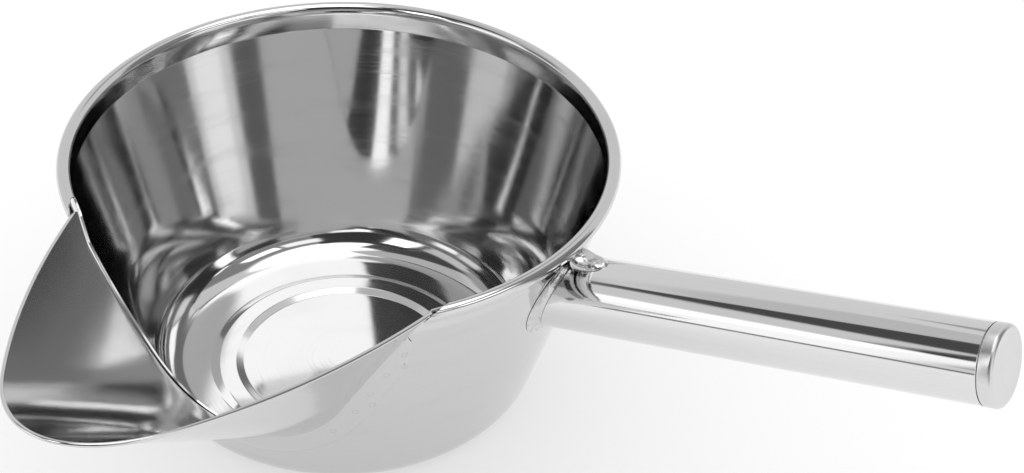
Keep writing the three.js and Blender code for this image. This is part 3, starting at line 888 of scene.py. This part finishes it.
def spot_places(wall, trough, sizes):
    """Middles and outward directions of the spot welds on both laps."""
    top, bottom = wall.neck - sizes.top_drop, trough.sizes.notch_height + sizes.bottom_rise
    rows = [(place, sizes.inset) for place in range(sizes.count)]
    rows += [(place - 0.5, sizes.edge_inset) for place in range(1, sizes.count, 2)]
    middles, facings = [], []
    for side in LEFT_AND_RIGHT:
        for place, inset in rows:
            height = mix(top, bottom, place / (sizes.count - 1))
            girth = np.array(side * trough.girth_at_height(height))
            middle = trough.lap(girth, inset, trough.sizes.lap_gap + wall.sheet)
            lean = math.atan(wall.slope(middle[2]))
            level = Vector((middle[0], middle[1], 0)).normalized()
            middles.append(middle)
            facings.append(level * math.cos(lean) - Vector((0, 0, math.sin(lean))))
    return middles, facings


def spot_button(radius, height):
    """One mark: a low ring with a dished middle, closed underneath."""
    profile = [(0.0, 0.35), (0.45, 0.25), (0.72, 0.8), (0.86, 1.0), (0.96, 0.5), (1.0, -0.6),
               (0.0, -0.6)]
    turn = np.linspace(0, 2 * math.pi, SPOT_SIDES, endpoint=False)
    rows = [np.stack([radius * out * np.cos(turn), radius * out * np.sin(turn),
                      np.full(SPOT_SIDES, height * up)], axis=1) for out, up in profile]
    faces = quads(len(rows), SPOT_SIDES, 0, wrap_columns=True)
    return new_piece("spot_mark_pattern", rows, faces, 60)


def spot_tree(pattern, material):
    """Geometry nodes that stand a copy of the pattern on each point, along its facing direction."""
    tree, keys = node_tree("spot_weld_row", {"Size": "NodeSocketFloat", "Turn": "NodeSocketFloat"})
    add, join = tree.nodes.new, tree.links.new
    given = add("NodeGroupInput")
    facing = add("GeometryNodeInputNamedAttribute")
    facing.data_type = "FLOAT_VECTOR"
    facing.inputs["Name"].default_value = "facing"
    align = add("FunctionNodeAlignRotationToVector")
    align.axis = "Z"
    join(facing.outputs["Attribute"], align.inputs["Vector"])
    spin = add("FunctionNodeRotateRotation")
    spin.rotation_space = "LOCAL"
    axis = add("ShaderNodeCombineXYZ")
    number = add("GeometryNodeInputIndex")
    step = add("ShaderNodeMath")
    step.operation = "MULTIPLY"
    join(number.outputs[0], step.inputs[0])
    join(given.outputs["Turn"], step.inputs[1])
    join(step.outputs[0], axis.inputs[2])
    join(align.outputs["Rotation"], spin.inputs[0])
    join(axis.outputs[0], spin.inputs[1])
    source = add("GeometryNodeObjectInfo")
    source.inputs["Object"].default_value = pattern
    points = add("GeometryNodeMeshToPoints")
    place = add("GeometryNodeInstanceOnPoints")
    join(given.outputs["Geometry"], points.inputs["Mesh"])
    join(points.outputs["Points"], place.inputs["Points"])
    join(source.outputs["Geometry"], place.inputs["Instance"])
    join(spin.outputs[0], place.inputs["Rotation"])
    join(given.outputs["Size"], place.inputs["Scale"])
    end_tree(tree, place.outputs["Instances"], material)
    return tree, keys


class MESH_OT_pot_spots(bpy.types.Operator):
    """Spot weld marks along both laps of the spout"""

    bl_idname = "mesh.pot_spots"
    bl_label = "Spot welds"

    def execute(self, context):
        wall, trough, _ = shapes()
        sizes, looks = context.scene.pot_spots, context.scene.pot_finish
        middles, facings = spot_places(wall, trough, sizes)
        mesh = bpy.data.meshes.new("spot_welds")
        mesh.from_pydata([list(p) for p in middles], [], [])
        facing = mesh.attributes.new("facing", "FLOAT_VECTOR", "POINT")
        facing.data.foreach_set("vector", np.array(facings, np.float32).ravel())
        piece = add_object("spot_welds", mesh)
        duller = [level * 0.93 for level in looks.spout]
        steel = sheet_steel("spot_steel", duller, looks.scratch, SPOT_SHINE)
        pattern = spot_button(sizes.radius, sizes.height)
        tree, keys = spot_tree(pattern, steel)
        run_tree(piece, tree, keys, {"Size": 1.0, "Turn": 0.7})
        bpy.data.objects.remove(pattern)
        nodes = [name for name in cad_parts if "spot_weld" in name]
        settle(piece, sorted(nodes), steel)
        return {"FINISHED"}


# ---------------------------------------------------------------- handle


def turning_tree(material):
    """Geometry nodes that turn a profile, drawn as a line of edges, about the Z axis."""
    tree, keys = node_tree("turned_profile", {
        "Radius": "NodeSocketFloat", "Sides": "NodeSocketInt"})
    add, join = tree.nodes.new, tree.links.new
    given = add("NodeGroupInput")
    line, ring = add("GeometryNodeMeshToCurve"), add("GeometryNodeCurvePrimitiveCircle")
    sweep = add("GeometryNodeCurveToMesh")
    join(given.outputs["Geometry"], line.inputs["Mesh"])
    join(given.outputs["Radius"], ring.inputs["Radius"])
    join(given.outputs["Sides"], ring.inputs["Resolution"])
    join(ring.outputs["Curve"], sweep.inputs["Curve"])
    join(line.outputs["Curve"], sweep.inputs["Profile Curve"])
    end_tree(tree, sweep.outputs["Mesh"], material)
    return tree, keys


def turned_on_axis(grip, name, profile, sides, material, sharp=35.0):
    """A profile of (radius, distance along the handle) turned about the handle's axis."""
    size = max(radius for radius, _ in profile)
    mesh = bpy.data.meshes.new(name)
    points = [(radius - size, -along, 0) for radius, along in profile]
    mesh.from_pydata(points, [(number, number + 1) for number in range(len(points) - 1)], [])
    line = add_object(name, mesh)
    tree, keys = turning_tree(material)
    turned = run_tree(line, tree, keys, {"Radius": size, "Sides": sides}).data
    turned.transform(grip.to_world)
    points = [tuple(vertex.co) for vertex in turned.vertices]
    faces = [tuple(face.vertices) for face in turned.polygons]
    bpy.data.objects.remove(line)
    return new_piece(name, points, faces, sharp)


class MESH_OT_pot_tube(bpy.types.Operator):
    """Handle tube, coped to the bowl's wall at one end"""

    bl_idname = "mesh.pot_tube"
    bl_label = "Handle tube"

    def execute(self, context):
        _, _, grip = shapes()
        s, sides = context.scene.pot_handle, TUBE_SIDES
        turn = np.linspace(0, 2 * math.pi, sides, endpoint=False)
        edge = 0.12 * MM
        inner = s.tube_radius - s.tube_wall

        def ring(radius, along):
            return grip.world(np.full(sides, radius), turn, along)

        cope = grip.at_wall(np.full(sides, s.tube_radius), turn, s.weld_root)
        bore_cope = grip.at_wall(np.full(sides, inner), turn, s.weld_root)
        rows = [ring(inner, bore_cope), ring(s.tube_radius - edge, cope)]
        for part in np.linspace(0, 1, TUBE_ROWS):
            rows.append(ring(s.tube_radius, mix(cope + edge, grip.end - edge, part)))
        rows += [ring(s.tube_radius - edge, grip.end), ring(inner, grip.end)]
        piece = new_piece("handle_sleeve", rows, quads(len(rows), sides, 0, True, True), 40)
        looks = context.scene.pot_finish
        steel = tube_steel("tube_steel", looks.tube, looks.scratch, TUBE_SHINE)
        settle(piece, ["handle_tube"], steel)
        return {"FINISHED"}


class MESH_OT_pot_cap(bpy.types.Operator):
    """Pressed cap that plugs the handle's end, with a satin band and a bright shoulder"""

    bl_idname = "mesh.pot_cap"
    bl_label = "End cap"

    def execute(self, context):
        _, _, grip = shapes()
        s = context.scene.pot_handle
        plug = s.tube_radius - s.tube_wall - s.gap
        hollow, start, end = plug - s.cap_wall, grip.end + s.gap, grip.end + s.cap_length
        edge, skin = 0.15 * MM, 0.02 * MM
        profile = [(0, end - s.cap_wall), (hollow, end - s.cap_wall), (hollow, grip.end - s.spigot),
                   (plug, grip.end - s.spigot), (plug, start), (s.tube_radius - edge, start),
                   (s.tube_radius - skin, start + edge), (s.tube_radius, start + 0.5 * MM)]
        for part in np.linspace(0, 1, 12):
            turn = math.pi / 2 * part
            profile.append((s.tube_radius - s.cap_edge * (1 - math.cos(turn)),
                            end - s.cap_edge * (1 - math.sin(turn))))
        flat = s.tube_radius - s.cap_edge
        profile += [(flat - 0.5 * MM, end), (flat - 0.9 * MM, end - 0.08 * MM),
                    (flat * 0.5, end - 0.09 * MM), (0, end - 0.09 * MM)]
        looks = context.scene.pot_finish
        steel = tube_steel("cap_steel", looks.cap, looks.scratch, CAP_SHINE)
        piece = turned_on_axis(grip, "handle_cap", profile, CAP_SIDES, steel, 40)
        settle(piece, ["handle_end_cap"], steel)
        return {"FINISHED"}


class MESH_OT_pot_welds(bpy.types.Operator):
    """Fillet weld round the foot of the handle and the tongue of weld under the rim"""

    bl_idname = "mesh.pot_welds"
    bl_label = "Handle welds"

    def execute(self, context):
        wall, _, grip = shapes()
        s = context.scene.pot_handle
        steel = weld_steel("weld_steel", context.scene.pot_finish.weld)
        settle(self.fillet(grip, s), ["handle_weld"], steel)
        settle(self.tongue(wall, grip, s), ["rim_tack_weld"], steel)
        return {"FINISHED"}

    def fillet(self, grip, s):
        turn = np.linspace(0, 2 * math.pi, FILLET_SIDES, endpoint=False)
        leg = mix(s.weld_leg, s.weld_side_leg, np.sin(turn) ** 2)
        inner, gap, end = s.tube_radius - s.tube_wall, s.gap * 0.4, s.weld_root - 0.05 * MM

        def foot(radius, off):
            along = grip.at_wall(radius + 0 * turn, turn, off)
            return grip.world(radius + 0 * turn, turn, along)

        rows = [foot(inner, gap), foot(s.tube_radius, gap), foot(s.tube_radius + leg, gap)]
        for sweep in np.linspace(0, math.pi / 2, FILLET_ROWS):
            out, up = 1 - math.sin(sweep), 1 - math.cos(sweep)
            spot = foot(s.tube_radius + leg * out, mix(gap + 0.05 * MM, end, up))
            centre = grip.world(0 * turn, turn, grip.at_wall(0 * turn, turn, 0) + 0 * turn)
            outward = spot - centre
            outward /= np.linalg.norm(outward, axis=-1, keepdims=True)
            swell = math.sin(sweep * 2) * ripple(spot, 0.16 * MM, 5)
            rows.append(spot + outward * swell[:, None])
        rows.append(foot(inner, end))
        return new_piece("handle_fillet", rows, quads(len(rows), len(turn), 0, True, True), 40)

    def tongue(self, wall, grip, s):
        rows = columns = TONGUE_ROWS
        start = float(grip.at_wall(s.tube_radius, 0.0, s.weld_root + s.gap))
        low, high = [], []
        for part in np.linspace(0, 1, rows):
            half = s.tack_width / 2 * math.sqrt(max(1 - part ** 4, 0.003))
            side = np.linspace(-1, 1, columns)
            turn = side * half / s.tube_radius
            crown = np.sqrt(np.maximum(1 - side ** 2, 0)) ** 0.7
            body = s.tack_height * math.sqrt(max(1 - part ** 3, 0)) + s.tack_rise * (1 - part) ** 3
            along = np.full(columns, start + s.tack_length * part)
            low.append(grip.world(s.tube_radius + 0.05 * MM, turn, along))
            top = grip.world(s.tube_radius + 0.05 * MM + body * crown, turn, along)
            up = top - grip.world(0.0, turn, along)
            up /= np.linalg.norm(up, axis=-1, keepdims=True)
            top = top + up * (ripple(top, 0.22 * MM, 6) * crown)[:, None]
            high.append(self.clear_of_roll(wall, top))
        return slab("rim_tongue", np.array(low), np.array(high), sharp=50)

    def clear_of_roll(self, wall, points):
        """Pushes points that would lie inside the rolled rim out to its surface."""
        radius = np.hypot(points[:, 0], points[:, 1])
        across = np.stack([radius - wall.roll_middle, points[:, 2] - wall.roll_centre], axis=1)
        size = np.linalg.norm(across, axis=1)
        near = wall.sizes.roll_radius + 0.05 * MM
        low = np.where(across[:, 1] > 0, wall.under_roll - 0.05 * MM, points[:, 2])
        down = np.sqrt(np.maximum(near ** 2 - across[:, 0] ** 2, 0))
        height = np.where((size < near) | (across[:, 1] > 0) & (np.abs(across[:, 0]) < near),
                          np.minimum(low, wall.roll_centre - down), points[:, 2])
        return np.stack([points[:, 0], points[:, 1], height], axis=1)


# ---------------------------------------------------------------- studio

# What the steel mirrors: turn from the camera and height in degrees, softness and brightness.
PANELS = [
    ("ceiling", (-200, 200), (65, 200), 1.5, 2.1),
    ("left wall top", (-166, -96), (56, 84), 3, 0.62),
    ("overhead dark", (-98, -24), (64, 81), 2.5, 0.10),
    ("left shade", (-124, -90), (40, 52), 3, 0.45),
    ("left dark corner", (-101, -56), (49, 75), 3, 0.08),
    ("dark room", (-56, 27), (20, 66), 1.5, 0.05),
    ("low room", (-42, 27), (12, 26.5), 2, 0.33),
    ("left wall", (-90, -54), (33, 49), 2, 0.75),
    ("left low wall", (-82, -42), (-20, 33), 2, 1.25),
    ("left window", (-73, -49), (22, 31), 1.5, 1.7),
    ("left gap", (-108, -84), (26, 40), 2, 0.2),
    ("left lamp", (-47, -27), (34, 58), 1, 2.7),
    ("table edge", (-56, -26), (0.5, 4.5), 0.5, 0.25),
    ("right grey", (27, 115), (32, 63), 2.5, 0.30),
    ("right gleam", (22, 50), (44, 56), 2, 1.4),
    ("right lamp", (54, 82), (44, 54), 1, 2.2),
    ("right low dark", (72, 108), (-20, 34), 2, 0.25),
    ("right low wall", (38, 70), (-30, 31), 2, 1.1),
    ("right gap", (10, 36), (0, 20), 1.5, 0.3),
    ("back gap", (158, 178), (44, 58), 2, 0.4),
]


class SCENE_OT_pot_stage(bpy.types.Operator):
    """Pale floor, soft studio light and the camera"""

    bl_idname = "scene.pot_stage"
    bl_label = "Studio"

    def execute(self, context):
        scene = context.scene
        s = scene.pot_studio
        self.floor(s)
        self.world(scene, s)
        self.room(s)
        self.camera(scene, s)
        scene.view_settings.view_transform = "Standard"
        scene.view_settings.look = "None"
        return {"FINISHED"}

    def floor(self, s):
        half = s.floor_size / 2
        corners = [(-half, -half, 0), (half, -half, 0), (half, half, 0), (-half, half, 0)]
        mesh = bpy.data.meshes.new("studio_floor")
        mesh.from_pydata(corners, [], [(0, 1, 2, 3)])
        floor = add_object("studio_floor", mesh)
        paint = Shader("floor_paint")
        paint.finish((*s.floor, 1), 0.9, None, 0.0)
        paint.feed(paint.surface.inputs["Emission Color"], WHITE)
        paint.feed(paint.surface.inputs["Emission Strength"], s.floor_glow)
        mesh.materials.append(paint.material)

    def world(self, scene, s):
        world = bpy.data.worlds.new("studio_air")
        scene.world = world
        world.use_nodes = True
        air = world.node_tree.nodes["Background"]
        air.inputs["Color"].default_value = WHITE
        air.inputs["Strength"].default_value = s.air

    def room(self, s):
        """Dome that only the steel mirrors: pale walls, soft lamps and dark gaps."""
        work = bmesh.new()
        bmesh.ops.create_uvsphere(work, u_segments=96, v_segments=48, radius=s.room_radius)
        mesh = bpy.data.meshes.new("studio_room")
        work.to_mesh(mesh)
        work.free()
        room = add_object("studio_room", mesh)
        for kind in ("camera", "diffuse", "shadow", "transmission", "volume_scatter"):
            setattr(room, "visible_" + kind, False)
        shader = Shader("studio_panels")
        shader.material.cycles.emission_sampling = "NONE"
        _, (x, y, z) = shader.place()
        ahead, beside = turned_axes(x, y, s.azimuth - math.pi / 2)
        degrees = 180 / math.pi
        turn = beside.math("ARCTAN2", ahead) * degrees
        rise = (z / s.room_radius).math("ARCSINE") * degrees
        level = s.room_grey
        for _, (left, right), (low, high), soft, bright in PANELS:
            inside = (shader.rises(turn, left - soft, left + soft)
                      * shader.spread(turn, right - soft, right + soft, 1, 0)
                      * shader.rises(rise, low - soft, low + soft)
                      * shader.spread(rise, high - soft, high + soft, 1, 0))
            level = level + inside * (bright - level)
        light = shader.node("ShaderNodeEmission", inputs={
            "Color": WHITE, "Strength": level * s.lamps})
        shader.feed(shader.tree.nodes["Material Output"].inputs["Surface"], light)
        mesh.materials.append(shader.material)

    def camera(self, scene, s):
        data = bpy.data.cameras.new("studio_camera")
        data.sensor_fit, data.sensor_width, data.lens = "HORIZONTAL", 36, s.lens
        data.clip_start, data.clip_end = 0.01, 100
        camera = add_object("studio_camera", data)
        back = Vector((math.sin(s.azimuth) * math.cos(s.elevation),
                       -math.cos(s.azimuth) * math.cos(s.elevation), math.sin(s.elevation)))
        right = Vector((math.cos(s.azimuth), math.sin(s.azimuth), 0))
        upright = Matrix((right, back.cross(right), back)).transposed()
        turned = upright @ Matrix.Rotation(s.roll, 3, "Z")
        place = Vector((s.aim_x, s.aim_y, s.aim_z)) + back * s.distance
        camera.matrix_world = Matrix.Translation(place) @ turned.to_4x4()
        scene.camera = camera


# ---------------------------------------------------------------- add-on


class VIEW3D_PT_melting_pot(bpy.types.Panel):
    bl_label = "Melting Pot"
    bl_idname = "VIEW3D_PT_melting_pot"
    bl_space_type = "VIEW_3D"
    bl_region_type = "UI"
    bl_category = "Melting Pot"

    def draw(self, context):
        for operator in OPERATORS:
            self.layout.operator(operator.bl_idname)
        for name in GROUPS:
            box = self.layout.box()
            group = getattr(context.scene, name)
            for key in group.__annotations__:
                box.prop(group, key)


GROUPS = {
    "pot_bowl": BowlSizes,
    "pot_spout": SpoutSizes,
    "pot_spots": SpotSizes,
    "pot_handle": HandleSizes,
    "pot_finish": FinishColours,
    "pot_studio": StudioSizes,
}
OPERATORS = [
    SCENE_OT_pot_stage,
    MESH_OT_pot_bowl,
    MESH_OT_pot_spout,
    MESH_OT_pot_spots,
    MESH_OT_pot_tube,
    MESH_OT_pot_cap,
    MESH_OT_pot_welds,
]


def register():
    for group in GROUPS.values():
        bpy.utils.register_class(group)
    for name, group in GROUPS.items():
        setattr(bpy.types.Scene, name, PointerProperty(type=group))
    for operator in OPERATORS:
        bpy.utils.register_class(operator)
    bpy.utils.register_class(VIEW3D_PT_melting_pot)


def unregister():
    bpy.utils.unregister_class(VIEW3D_PT_melting_pot)
    for operator in reversed(OPERATORS):
        bpy.utils.unregister_class(operator)
    for name, group in reversed(list(GROUPS.items())):
        delattr(bpy.types.Scene, name)
        bpy.utils.unregister_class(group)


def main():
    register()
    for operator in OPERATORS:
        family, name = operator.bl_idname.split(".")
        getattr(getattr(bpy.ops, family), name)()


if __name__ == "__main__":
    main()
